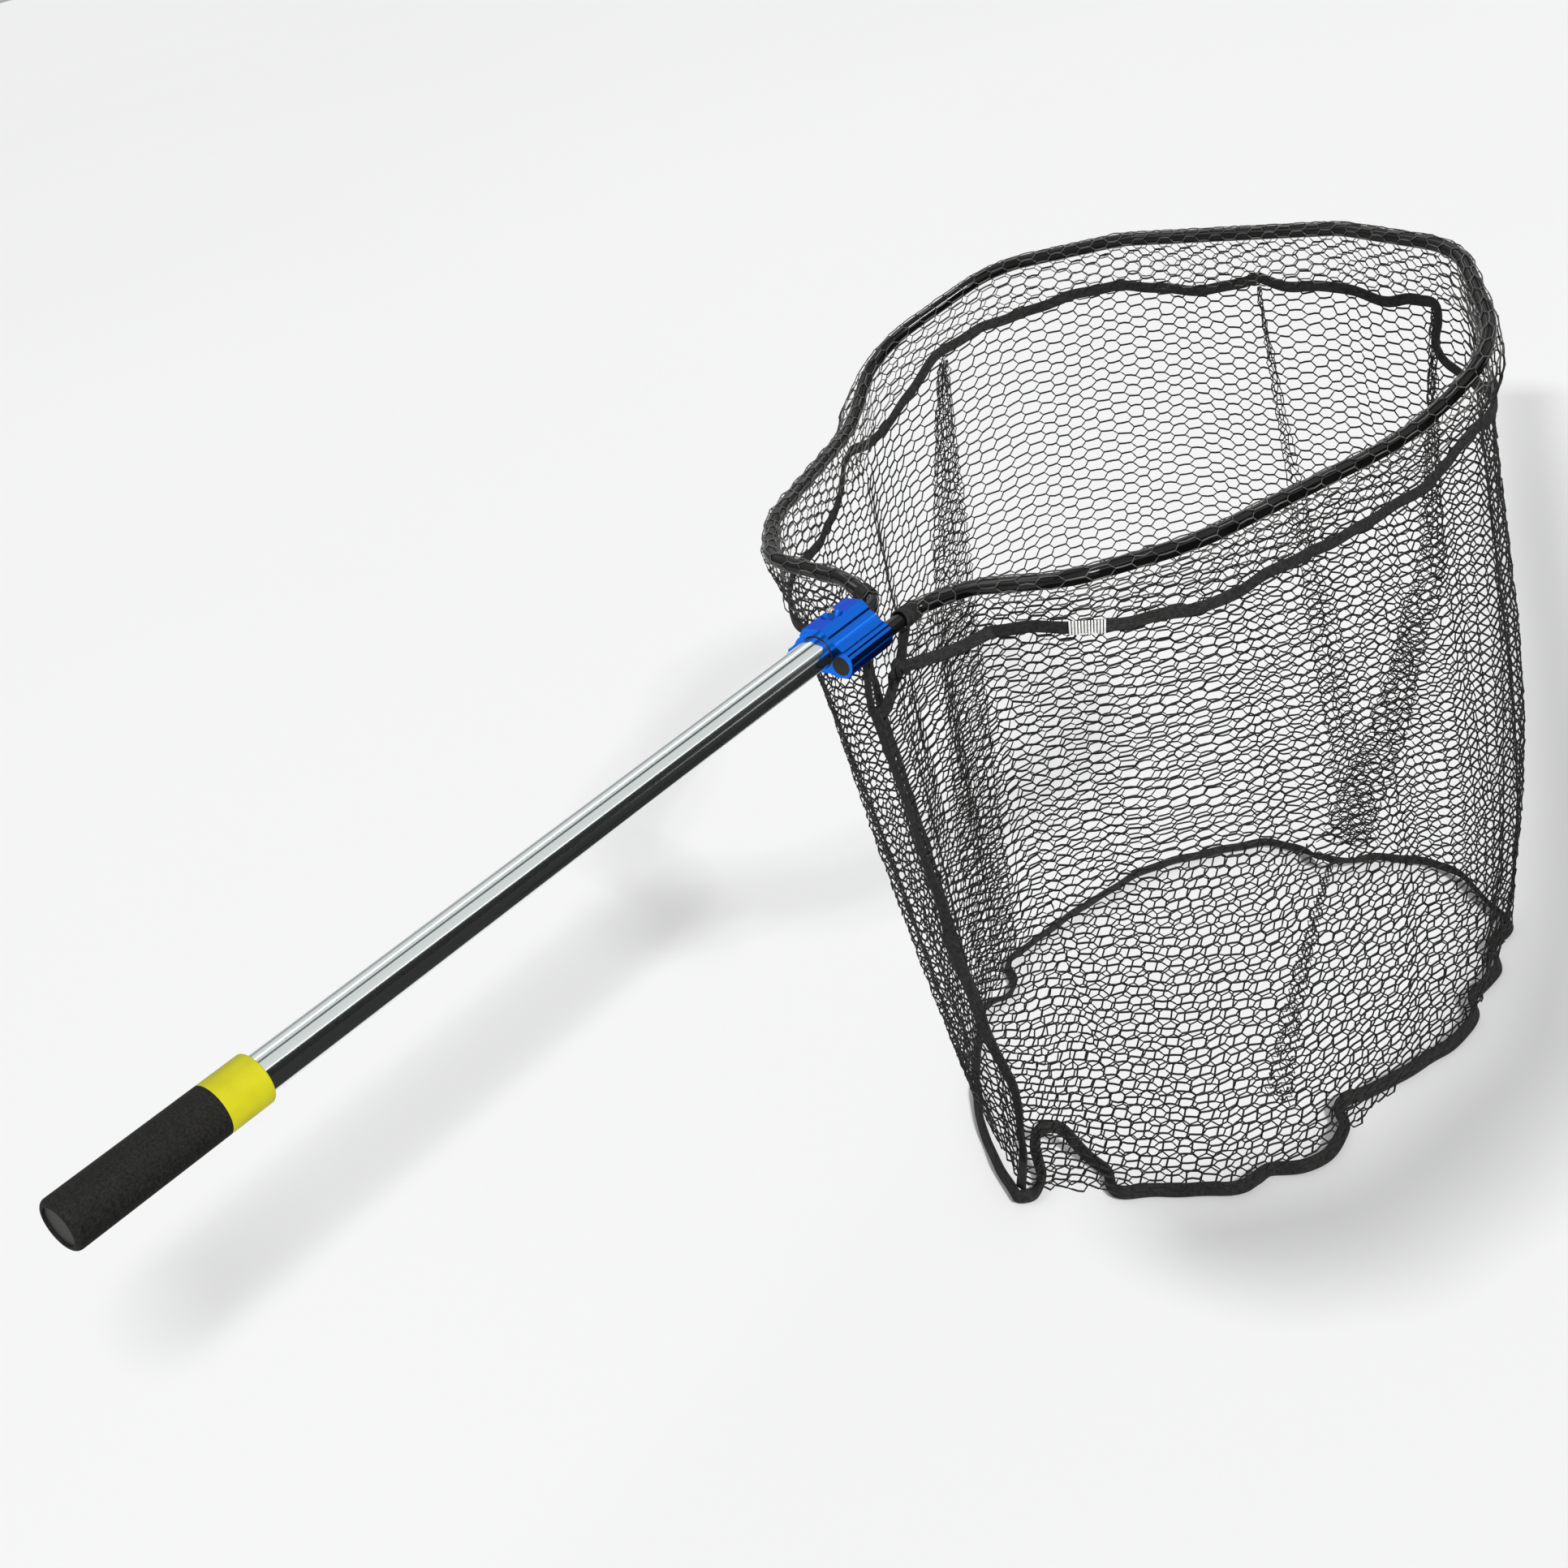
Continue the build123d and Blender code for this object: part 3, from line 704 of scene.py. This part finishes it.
def bag_walls():
    """The bag's walls, left and right, and the fold that goes over the hoop."""
    pitch = 2.0 / COLUMNS
    columns = np.arange(COLUMNS + 1)
    step = np.arange(-2 * FOLD_ROWS, 2 * ROWS + 1)
    swing = swings(COLUMNS + 1, step)
    middle = spaced(columns * pitch - 1.0)
    wander = WANDER * pitch * np.sin(step[None] * 0.13 + columns[:, None] * 0.9)
    shares = middle[:, None] + swing * ZIGZAG * pitch + np.where(step[None] > 2, wander, 0.0)
    height = rim(middle)[0][..., 2] - WALL_FOOT
    down = np.where(
        step[None] >= 0, step[None] / (2 * ROWS) * height[:, None], step[None] * ROW_PITCH / 2
    )
    points = wall(shares, down)
    loose = np.clip(step / 6.0, 0, 1)[None, :, None]
    points = points + rng.normal(0, JITTER, points.shape) * loose
    points[-1] = points[0]
    edge = 2 * FOLD_ROWS
    hooped = on_hoop(np.abs(middle) - pitch / 4)
    fold = []
    for side in (middle > 0.01, middle < -0.01):
        over = hooped & side
        fold += yarns(
            points[over, :edge + 1], swing[over, :edge + 1], np.zeros(over.sum(), int),
            thick=FOLD_YARN,
        )
    walls = []
    for side in (middle >= 0, middle <= 0):
        start = np.full(side.sum(), edge)
        walls.append(yarns(points[side], swing[side], start))
    return *walls, fold


arm_bend = Route(rounded(
    [(CUFF_RIGHT, BARREL_Y, BARREL_Z), (0.716, BARREL_Y, BARREL_Z), SLEEVE_START], [0.022]
))


def gusset(side, start, count):
    """Netting from the first columns back round the bend of a hoop arm, down to the edge
    that runs from the arm to the front corner."""
    mirror = np.array((1.0, side, 1.0))
    at = np.linspace(start, arm_bend.length, count)
    centre = arm_bend.place(at)
    travel = unit(arm_bend.place(at + 0.002) - arm_bend.place(at - 0.002))
    out = unit(np.stack([-travel[:, 1], travel[:, 0], np.zeros(count)], -1))
    tip = unit(np.cross(out, travel))
    tip = tip * np.sign(tip[:, 2:])
    under = centre - (0, 0, NET_DROP) + out * FOLD_OUT
    corner = np.array(FRONT_POINT)
    hem = corner + np.linspace(0, 1, count)[:, None] * (edge_start + out[-1] * FOLD_OUT - corner)
    drop = np.linalg.norm(hem - under, axis=1)
    step = np.arange(-2 * FOLD_ROWS, 2 * ROWS)
    reach = np.floor(drop / (ROW_PITCH / 2)).astype(int)
    swing = swings(count, step + 1)
    fall = np.clip(step[None] * ROW_PITCH / 2 / np.maximum(drop[:, None], 1e-6), 0, 1)
    lower = under[:, None] + (hem - under)[:, None] * fall[..., None]
    lifted = over_hoop.place(np.maximum(-step * ROW_PITCH / 2, 0))
    fold = (
        (under - out * FOLD_OUT)[:, None]
        + out[:, None] * lifted[None, :, :1] + tip[:, None] * lifted[None, :, 1:]
    )
    points = np.where((step < 0)[None, :, None], fold, lower)
    pitch = (arm_bend.length - start) / count
    points = (points + travel[:, None] * (swing * ZIGZAG * pitch)[..., None]) * mirror
    edge = 2 * FOLD_ROWS
    start = np.full(count, edge)
    below = yarns(points, swing, start, edge + reach)
    lap = slice(0, edge + 1)
    over = yarns(points[:, lap], swing[:, lap], np.zeros(count, int), thick=FOLD_YARN)
    return below, over


def dart(path, width, count=4, layers=2):
    """A pleat of spare netting folded against the inside of the wall.

    Its path gives the share at some levels from the band (0) to the floor (1), and it widens
    evenly to its full width, a share too.
    """
    parts = []
    start = BAND_FROM + BAND_WIDTH / 2
    shares, levels = zip(*path)
    step = np.arange(0, 2 * ROWS + 1)
    fall = np.linspace(0, 1, len(step))
    middle = np.interp(fall, levels, shares)
    for layer in range(layers):
        many = count + layer
        swing = swings(many, step + layer)
        spread = width * (PLEAT_START + (1 - PLEAT_START) * fall)
        across = np.linspace(-0.5, 0.5, many)[:, None] * (1 + 0.1 * layer)
        shares = middle + across * spread + swing * spread / many * 0.25
        height = rim(shares)[0][..., 2] - WALL_FOOT
        down = start + fall[None] * (height - start)
        points = wall(shares, down, -PLEAT_GAP * (1 + layer))
        points = points + rng.normal(0, 1.6 * JITTER, points.shape)
        parts += yarns(points, swing, np.zeros(many, int), thick=PLEAT_YARN)
    return parts


def inside(points, outline):
    """Which plan points lie inside a closed outline."""
    x, y = points[..., 0], points[..., 1]
    found = np.zeros(x.shape, bool)
    for (x0, y0), (x1, y1) in zip(outline, np.roll(outline, -1, axis=0)):
        crossing = (y0 > y) != (y1 > y)
        found ^= crossing & (x < (x1 - x0) * (y - y0) / (y1 - y0 + 1e-15) + x0)
    return found


def bag_floor():
    """The flat honeycomb of the bag's floor, cut to its outline."""
    left = floor_routes[0].spread(80)
    right = floor_routes[1].spread(80)
    outline = np.concatenate([left, right[::-1][1:-1]])
    centre = outline.mean(0)
    across = np.arange(-FLOOR_COLUMNS, FLOOR_COLUMNS + 1)
    steps = np.arange(-FLOOR_STEPS, FLOOR_STEPS + 1)
    swing = swings(len(across), steps)
    turn = math.radians(FLOOR_MESH_TURN)
    y = (across[:, None] + swing * ZIGZAG) * FLOOR_MESH_WIDTH
    x = steps[None] * FLOOR_MESH_PITCH / 2 + 0 * y
    turned_x = x * math.cos(turn) - y * math.sin(turn)
    turned_y = x * math.sin(turn) + y * math.cos(turn)
    plan = np.stack([turned_x, turned_y], -1)
    plan += centre + rng.normal(0, JITTER, plan.shape)
    wave = np.sin(plan[..., 0] * 31 + plan[..., 1] * 17) * np.sin(plan[..., 1] * 23)
    height = BAG_FLOOR + FLOOR_LIFT + FLOOR_WAVE * wave ** 2
    points = np.concatenate([plan, height[..., None]], -1)
    within = inside(plan, outline)
    upright = within[:, 1:] & within[:, :-1]
    lines = np.stack([points[:, :-1][upright], points[:, 1:][upright]], 1)
    bridge = (swing[:-1] > 0) & within[:-1] & within[1:]
    bridges = np.stack([points[:-1][bridge], points[1:][bridge]], 1)
    return swept(lines, circle(YARN_R)), swept(bridges, circle(BRIDGE_R))


def floor_pleat():
    """A fold in the floor's netting, from the bunched tape on the far side to the near side."""
    columns, steps = FLOOR_PLEAT_COLUMNS, FLOOR_PLEAT_STEPS
    fall = np.linspace(0, 1, steps)
    line = spline(FLOOR_PLEAT, steps)
    width = 0.005 + 0.016 * fall
    swing = swings(columns, np.arange(steps))
    across = np.linspace(-0.5, 0.5, columns)[:, None] * width + swing * 0.10 * width
    points = np.zeros((columns, steps, 3))
    points[..., 0] = line[:, 0]
    points[..., 1] = line[:, 1] + across
    points[..., 2] = BAG_FLOOR + 0.004 + 0.006 * (1 - fall) + 0.002 * swing
    points += rng.normal(0, JITTER, points.shape)
    return yarns(points, swing, np.zeros(columns, int), thick=PLEAT_YARN)


left_wall, right_wall, fold = bag_walls()
left_end, left_over = gusset(1, arm_bend.length - CUFF_LEFT, count=3)
right_end, right_over = gusset(-1, 0, count=5)
net_left = build(
    "netting_left", *left_wall, *left_end, *dart(LEFT_DART, width=0.16, count=7),
    material=black_yarn,
)
net_right = build(
    "netting_right", *right_wall, *right_end, *dart(FAR_DART, width=0.040, layers=1),
    *dart(RIGHT_DART, width=0.050), material=black_yarn,
)
# stretched over the hoop, the yarn gets a lighter colour: a painted highlight
yarn_painted_highlight = yarn("black_yarn_painted_highlight", light=9.0)
net_fold = build("netting_sleeve", *fold, *left_over, *right_over, material=yarn_painted_highlight)
net_floor = build("netting_floor", *bag_floor(), *floor_pleat(), material=black_yarn)
for net in (net_left, net_right, net_fold, net_floor):
    net.visible_shadow = False
    net.visible_diffuse = False
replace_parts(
    net_left, "net_front_left", "net_near_corner_left", "net_side_left", "net_shoulder_left",
    "net_far_corner_left",
)
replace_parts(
    net_right, "net_front_right", "net_near_corner_right", "net_side_right",
    "net_shoulder_right", "net_far_corner_right", "net_far",
)
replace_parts(net_fold, "net_sleeve")
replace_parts(net_floor, "net_floor")


# ---------------------------------------------------------------- tapes and straps
def ribbon(line, facing, width, thick, lobes=4, closed=False):
    """A flat ribbed tape along a line, its face turned towards facing."""
    return swept(line[None], lobed(width, thick, lobes), facing[None], closed)


def perimeter_band():
    """The tape threaded round the bag under the hoop, from the knot at the front of the
    right side to the front of the left side."""
    around = [(-share, down) for share, down in BAND_RIGHT]
    around += [(share - 2, down) for share, down in reversed(BAND_LEFT)]
    share, down = spline(around, 800).T
    sway = 0.0008 * np.sin(share * 57.0) + 0.0006 * np.sin(share * 131.0)
    depth, middle, width = BAND_TUCK
    line = wall(share, down + sway, BAND_OUT - depth * hill(share, middle, width))
    facing = rim((share + 1) % 2 - 1)[1]
    low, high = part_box("strap_knot")
    knot_at = np.array((low + high) / 2)
    lead = spline([knot_at, (line[0] + knot_at) / 2 + (0.004, -0.004, -0.002), line[0]], 40)[:-1]
    line = np.concatenate([lead, line])
    facing = np.concatenate([np.tile(facing[0], (len(lead), 1)), facing])
    return build("tape_band", ribbon(line, facing, BAND_WIDTH, BAND_THICK), material=tape_cloth)


def floor_band():
    """The tape round the edge of the bag's floor."""
    plan = spline([*TAPE_LEFT, *reversed(TAPE_RIGHT), TAPE_LEFT[0]], 900)[:-1]
    along = np.arange(len(plan))
    lift = np.full(len(plan), FLOOR_TAPE_HEIGHT)
    for height, place, spread in FLOOR_TAPE_LIFTS:
        lift += height * hill(np.linalg.norm(plan - place, axis=1), 0, spread)
    lift += 0.0008 * np.sin(along * 0.11) + 0.0006 * np.sin(along * 0.27)
    line = np.concatenate([plan, (BAG_FLOOR + lift)[:, None]], -1)
    outward = plan - BAG_MIDDLE
    facing = unit(np.concatenate([outward, np.full((len(plan), 1), 0.12)], -1))
    tape = ribbon(line, facing, *FLOOR_TAPE, lobes=3, closed=True)
    return build("tape_floor", tape, material=tape_cloth)


def front_tape():
    """The tape down the bag's front corner, from the knot to the floor."""
    level = np.linspace(-0.025, 1, 160)
    top, low = np.array(FRONT_POINT), np.array((*FLOOR_FRONT, WALL_FOOT))
    line = top + (low - top) * level[:, None]
    line[:, 0] -= FRONT_TAPE_OUT
    line[:, 1] -= np.interp(level, *zip(*FRONT_SWAY))
    line[:, 1] += 0.0015 * np.sin(level * 31.0) * np.sin(math.pi * level)
    facing = unit(np.stack([-np.ones(len(level)), 0.5 * np.sin(level * 9.0), 0 * level], -1))
    return build("tape_front", ribbon(line, facing, *FRONT_TAPE), material=tape_cloth)


band = perimeter_band()
hem = floor_band()
front = front_tape()
front.visible_shadow = False
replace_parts(band, "perimeter_band")
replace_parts(hem, "floor_band")
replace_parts(front, "front_corner_band")


def strap(side):
    """A strap from a hoop arm down to the front corner: +1 left, -1 right."""
    arm = Vector((STRAP_X, side * BARREL_Y, BARREL_Z - 0.008))
    foot_at = Vector((FRONT_POINT[0] - 0.0025, side * 0.0054, FRONT_POINT[2] + 0.004))
    middle = arm.lerp(foot_at, 0.5) + Vector((0.001, side * 0.0025, 0.0))
    line = spline([arm, middle, foot_at], 40)
    facing = np.tile((-0.8, 0.0, -0.3), (len(line), 1))
    return ribbon(line, facing, *STRAP_TAPE)


def strap_loop(side, at, lean):
    """A loop of tape round a hoop arm."""
    turn = np.linspace(0, 2 * math.pi, 49)[:-1]
    along = at + lean * np.sin(turn)
    across = side * BARREL_Y + LOOP_R * np.cos(turn)
    above = BARREL_Z + LOOP_R * np.sin(turn)
    line = np.stack([along, across, above], -1)
    facing = unit(line - (at, side * BARREL_Y, BARREL_Z))
    return ribbon(line, facing, *LOOP_TAPE, lobes=3, closed=True)


strap_left = build("strap_tape_left", strap(1), material=tape_cloth)
strap_right = build("strap_tape_right", strap(-1), material=tape_cloth)
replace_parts(strap_left, "strap_left")
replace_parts(strap_right, "strap_right")
loop_parts = [strap_loop(side, at, lean) for side in (1, -1) for at, lean in LOOPS]
loops = build("strap_tape_loops", *loop_parts, material=tape_cloth)
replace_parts(loops, "strap_loops")


def knot():
    """The straps' knot, and its frayed tail."""
    low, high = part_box("strap_knot")
    centre = (low + high) / 2 + Vector((-0.003, -0.002, 0.001))
    turn = np.linspace(0, 2 * math.pi, 60)
    wrap = np.stack(
        [0.0042 * np.sin(2 * turn), 0.0046 * np.cos(turn), 0.0046 * np.sin(3 * turn)], -1
    )
    cords = [swept((wrap + centre)[None, :-1], circle(KNOT_CORD_R, 8), closed=True)]
    for k in range(TAIL_STRANDS):
        drop = 0.012 + 0.003 * math.sin(k * 2.1)
        swing = 0.003 * math.cos(k * 1.7)
        tail = spline(
            [
                centre,
                centre + Vector((-0.002 + swing / 3, 0.004, -0.003)),
                centre + Vector((swing, 0.006 + 0.0005 * k, -0.4 * drop)),
                centre + Vector((swing * 1.6, 0.005 + 0.0008 * k, -drop)),
            ],
            24,
        )
        cords.append(swept(tail[None], circle(TAIL_R, 6)))
    return build("strap_knot_tied", *cords, material=tape_cloth)


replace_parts(knot(), "strap_knot")


def whipping(start, ahead, turns, radius):
    """Thread wound round an arm, from a place along it."""
    ahead = unit(np.array(ahead, float))
    across = unit(np.cross(ahead, (0, 0, 1)))
    above = np.cross(across, ahead)
    turn = np.linspace(0, 2 * math.pi * turns, turns * 24)[:, None]
    line = (
        np.array(start) + ahead * WHIP_LENGTH * turn / turn[-1]
        + radius * (np.cos(turn) * across + np.sin(turn) * above)
    )
    return swept(line[None], circle(WHIP_THREAD_R, 6))


def cuffs():
    """Thread whipped round the netting where it ends on the hoop's arms."""
    start = arm_bend.length - CUFF_LEFT
    left = arm_bend.place(start)
    ahead = arm_bend.place(start + 0.01) - left
    right = mirrored(arm_bend.place(0))
    return build(
        "cuff_whipping", whipping(left, ahead, turns=7, radius=0.0072),
        whipping(right, (1, 0, 0), turns=5, radius=0.0070), material=tape_cloth,
    )


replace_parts(cuffs(), "hem_cuffs")


def band_join():
    """White thread worked across the band where its ends meet."""
    low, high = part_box("band_join")
    middle = (low + high) / 2
    share = np.linspace(-0.35, -0.02, 800)
    down = np.interp(-share, *zip(*BAND_RIGHT))
    line = wall(share, down, 0.0035)
    nearest = np.argmin(np.linalg.norm(line - np.array(middle), axis=1))
    around = Route(line)
    centre = around.at[nearest]
    stitches = []
    for k in range(STITCHES):
        at = centre + (k - (STITCHES - 1) / 2) * STITCH_PITCH
        here = around.place(at)
        ahead = unit(around.place(at + 0.002) - here)
        outward = rim(share[nearest])[1]
        up = np.cross(outward, ahead)
        up = up * np.sign(up[2])
        path = [
            here + up * (STITCH_REACH * math.cos(turn)) + outward * (STITCH_RISE * math.sin(turn))
            for turn in np.linspace(0.2, math.pi - 0.2, 9)
        ]
        stitches.append(swept(np.array(path)[None], circle(STITCH_R, 8)))
    return build("join_stitches", *stitches, material=white_thread())


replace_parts(band_join(), "band_join")


# ---------------------------------------------------------------- studio
def studio():
    mesh = bpy.data.meshes.new("studio_floor")
    corners = [
        (x * STUDIO_HALF, y * STUDIO_HALF, GROUND) for x, y in ((-1, -1), (1, -1), (1, 1), (-1, 1))
    ]
    mesh.from_pydata(corners, [], [(0, 1, 2, 3)])
    ground = bpy.data.objects.new("studio_floor", mesh)
    bpy.context.scene.collection.objects.link(ground)
    mesh.materials.append(studio_floor())


def card(name, corners, glow=0.0, shades=False):
    """A studio card that the camera doesn't see, black if it has no glow.

    Only glossy surfaces see it. One that shades is seen by nothing, and only keeps light off
    the floor.
    """
    mesh = bpy.data.meshes.new(name)
    mesh.from_pydata(corners, [], [tuple(range(len(corners)))])
    made = bpy.data.objects.new(name, mesh)
    bpy.context.scene.collection.objects.link(made)
    cloth = Shader(
        name, Roughness=1.0, Specular_IOR_Level=0.0,
        Base_Color=(CARD_BLACK, CARD_BLACK, CARD_BLACK, 1.0),
    )
    if glow:
        cloth.surface.inputs["Emission Color"].default_value = (1.0, 1.0, 1.0, 1.0)
        cloth.surface.inputs["Emission Strength"].default_value = glow
    if shades:
        cloth.surface.inputs["Alpha"].default_value = SHADE_DENSITY
    mesh.materials.append(cloth.material)
    made.visible_camera = False
    made.visible_diffuse = False
    made.visible_transmission = False
    made.visible_shadow = shades
    made.visible_glossy = not shades


def level_card(name, x, y, z, glow=0.0):
    card(name, [(x[0], y[0], z), (x[1], y[0], z), (x[1], y[1], z), (x[0], y[1], z)], glow)


def upright_card(name, x, y, z, glow=0.0):
    card(name, [(x[0], y, z[0]), (x[1], y, z[0]), (x[1], y, z[1]), (x[0], y, z[1])], glow)


def air():
    world = bpy.data.worlds.new("studio_air")
    bpy.context.scene.world = world
    world.use_nodes = True
    background = world.node_tree.nodes["Background"]
    background.inputs["Color"].default_value = (0.985, 0.99, 1.0, 1.0)
    background.inputs["Strength"].default_value = AIR


def key_light():
    lamp = bpy.data.lights.new("key", "SUN")
    lamp.energy = KEY
    lamp.angle = math.radians(KEY_SOFTNESS)
    key = bpy.data.objects.new("key", lamp)
    bpy.context.scene.collection.objects.link(key)
    key.rotation_euler = Vector(KEY_DIRECTION).to_track_quat("-Z", "Y").to_euler()


def cards():
    """What the glossy parts mirror: black cards, a pale sky and two bright strips."""
    level_card("card_low", x=(-1.2, 2.6), y=(-3.0, 0.1), z=-0.5)
    upright_card("card_front", x=(-0.6, 3.6), y=-3.0, z=(-0.5, 1.85))
    level_card("card_above", x=(-3.0, 5.0), y=(-0.16, 0.16), z=2.0)
    level_card("card_sky", x=(-6.0, 8.0), y=(-6.0, 6.0), z=3.4, glow=0.74)
    upright_card("strip_front", x=(-3.0, 6.0), y=-3.0, z=(1.9, 2.10), glow=2.5)
    upright_card("strip_back", x=(-3.0, 6.0), y=1.6, z=(2.4, 2.7), glow=3.5)


def bag_shadow():
    """The netting casts no shadow, so a card stands in for the bag's soft one."""
    back = SHADE_LIFT / KEY_DIRECTION[2] * Vector(KEY_DIRECTION)
    outline = [(x + back.x, y + back.y, GROUND + SHADE_LIFT) for x, y in SHADE]
    card("card_shade", outline, shades=True)


def camera():
    lens = bpy.data.cameras.new("camera")
    lens.lens = LENS
    lens.sensor_width = SENSOR
    lens.clip_end = 200.0
    eye = bpy.data.objects.new("camera", lens)
    bpy.context.scene.collection.objects.link(eye)
    back = CAMERA_RIGHT.cross(CAMERA_UP)
    axes = Matrix((CAMERA_RIGHT, CAMERA_UP, back)).transposed().to_4x4()
    eye.matrix_world = Matrix.Translation(CAMERA_AT) @ axes
    bpy.context.scene.camera = eye
    bpy.context.scene.view_settings.view_transform = "Standard"


studio()
air()
key_light()
cards()
bag_shadow()
camera()
